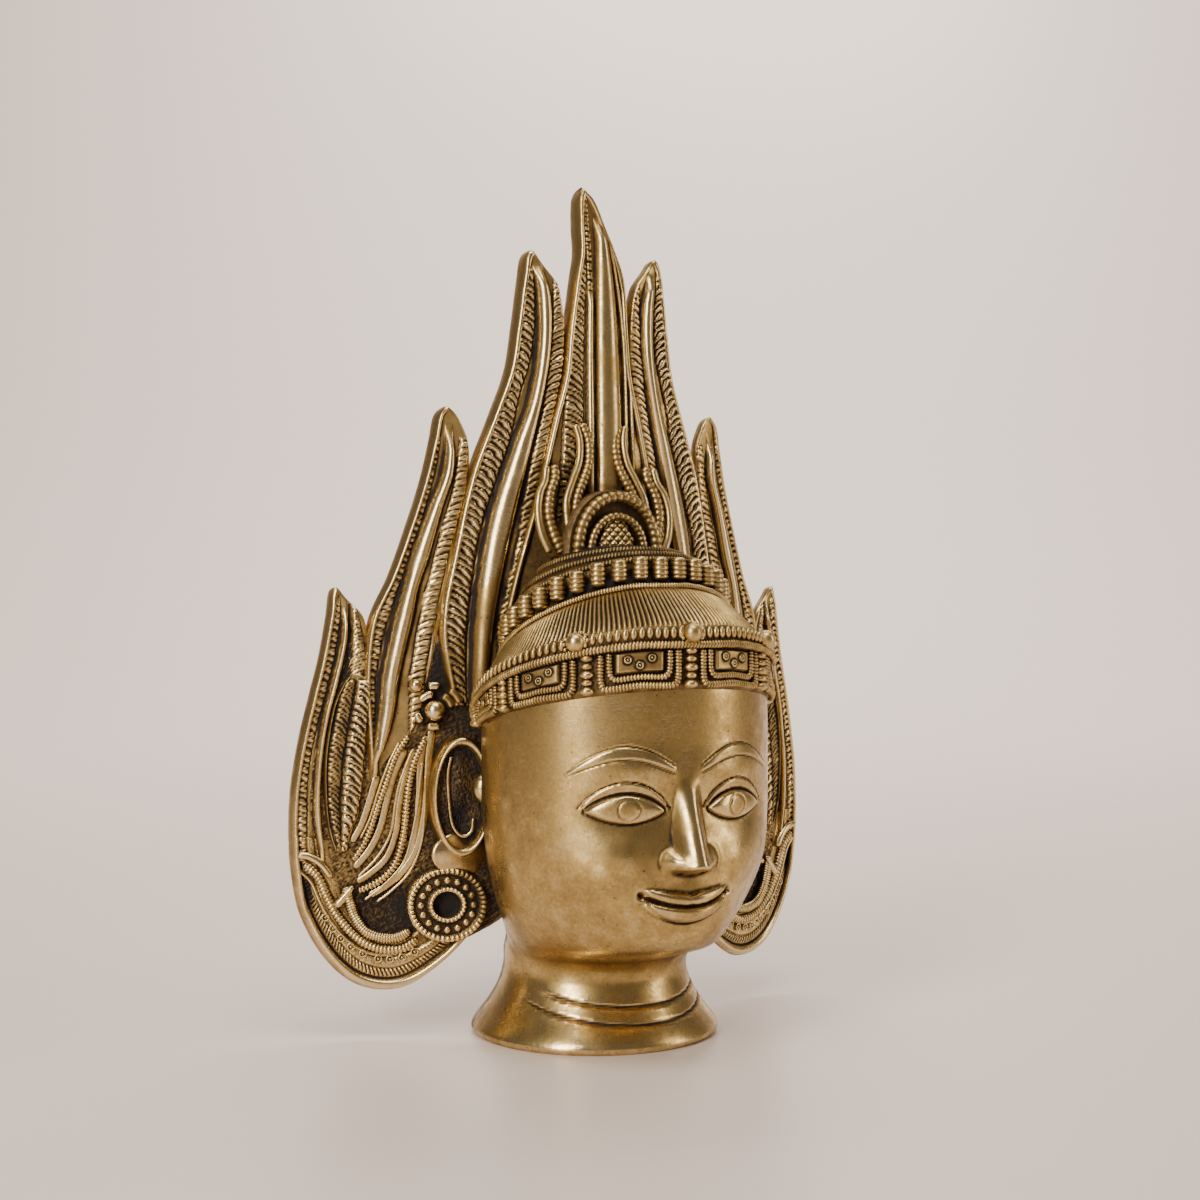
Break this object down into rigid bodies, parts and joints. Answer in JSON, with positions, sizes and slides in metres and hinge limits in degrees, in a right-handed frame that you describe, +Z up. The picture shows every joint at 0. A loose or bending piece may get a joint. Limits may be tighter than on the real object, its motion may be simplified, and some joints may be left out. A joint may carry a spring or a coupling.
{
  "type": "deity face mask",
  "caption": "Hollow cast brass face mask on a flared neck, with a beaded crown, flame screen, ears and round ear studs.",
  "frame": {"origin": "middle of the bounding box at the height of the neck ring's underside", "axes": "+Z up from the neck ring to the flame tips, -Y the way the face looks, +X towards the face's left ear"},
  "size_m": [0.1792, 0.1084, 0.26],
  "materials": {
    "cast_brass": "old cast brass, rubbed bright on the ridges, dark brown in the recesses"
  },
  "bodies": {
    "root": {"mask_casting": "cast_brass"}
  },
  "joints": []
}
